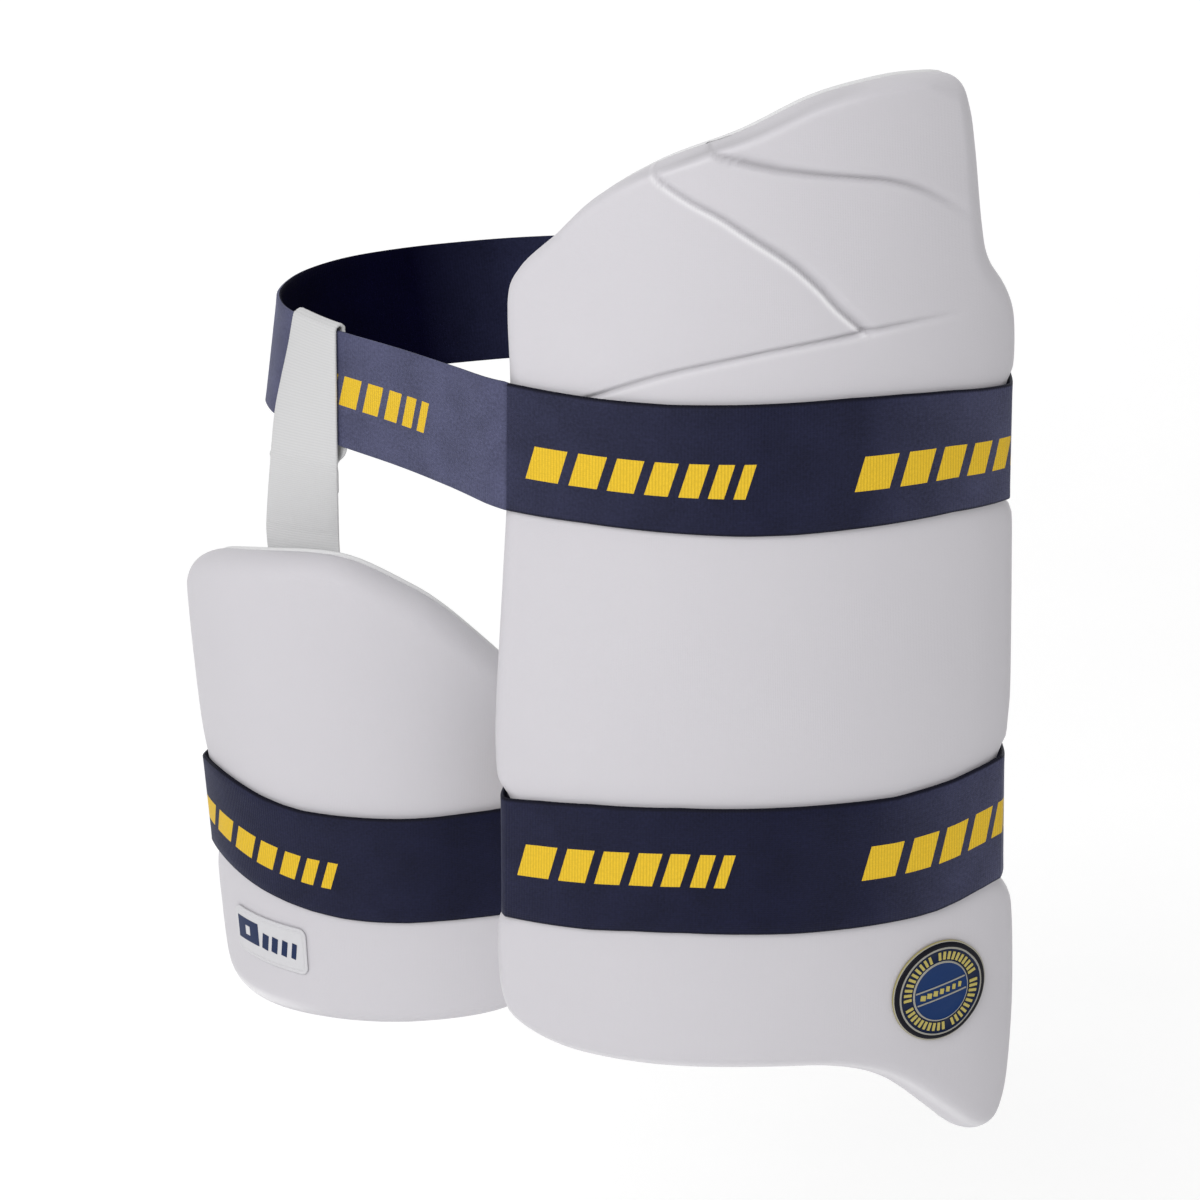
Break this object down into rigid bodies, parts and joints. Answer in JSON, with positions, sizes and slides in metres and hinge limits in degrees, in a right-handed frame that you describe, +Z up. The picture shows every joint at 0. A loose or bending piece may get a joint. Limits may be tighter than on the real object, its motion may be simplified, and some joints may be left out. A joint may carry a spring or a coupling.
{
  "type": "cricket thigh guard set",
  "caption": "Tall outer and short inner moulded thigh guards hung from one elastic waist belt, each with a thigh strap.",
  "frame": {"origin": "centre of the wearer's waist, at the mid-height of the waist belt", "axes": "+Z up, -Y to the wearer's front, where both guards face, +X to the outer guard's side"},
  "size_m": [0.328, 0.2646, 0.42],
  "materials": {
    "pale_cover": "smooth matt cover cloth over moulded foam",
    "white_backing": "soft matt backing cloth",
    "navy_elastic": "matt woven elastic",
    "white_webbing": "matt ribbed webbing",
    "blue_patch": "satin moulded patch",
    "white_label": "satin printed film"
  },
  "bodies": {
    "root": {"outer_pad": "pale_cover", "outer_lining": "white_backing", "inner_pad": "pale_cover", "inner_lining": "white_backing", "waist_strap": "navy_elastic", "outer_thigh_strap": "navy_elastic", "inner_thigh_strap": "navy_elastic", "hanger_webbing": "white_webbing", "round_badge": "blue_patch", "name_label": "white_label"}
  },
  "joints": []
}
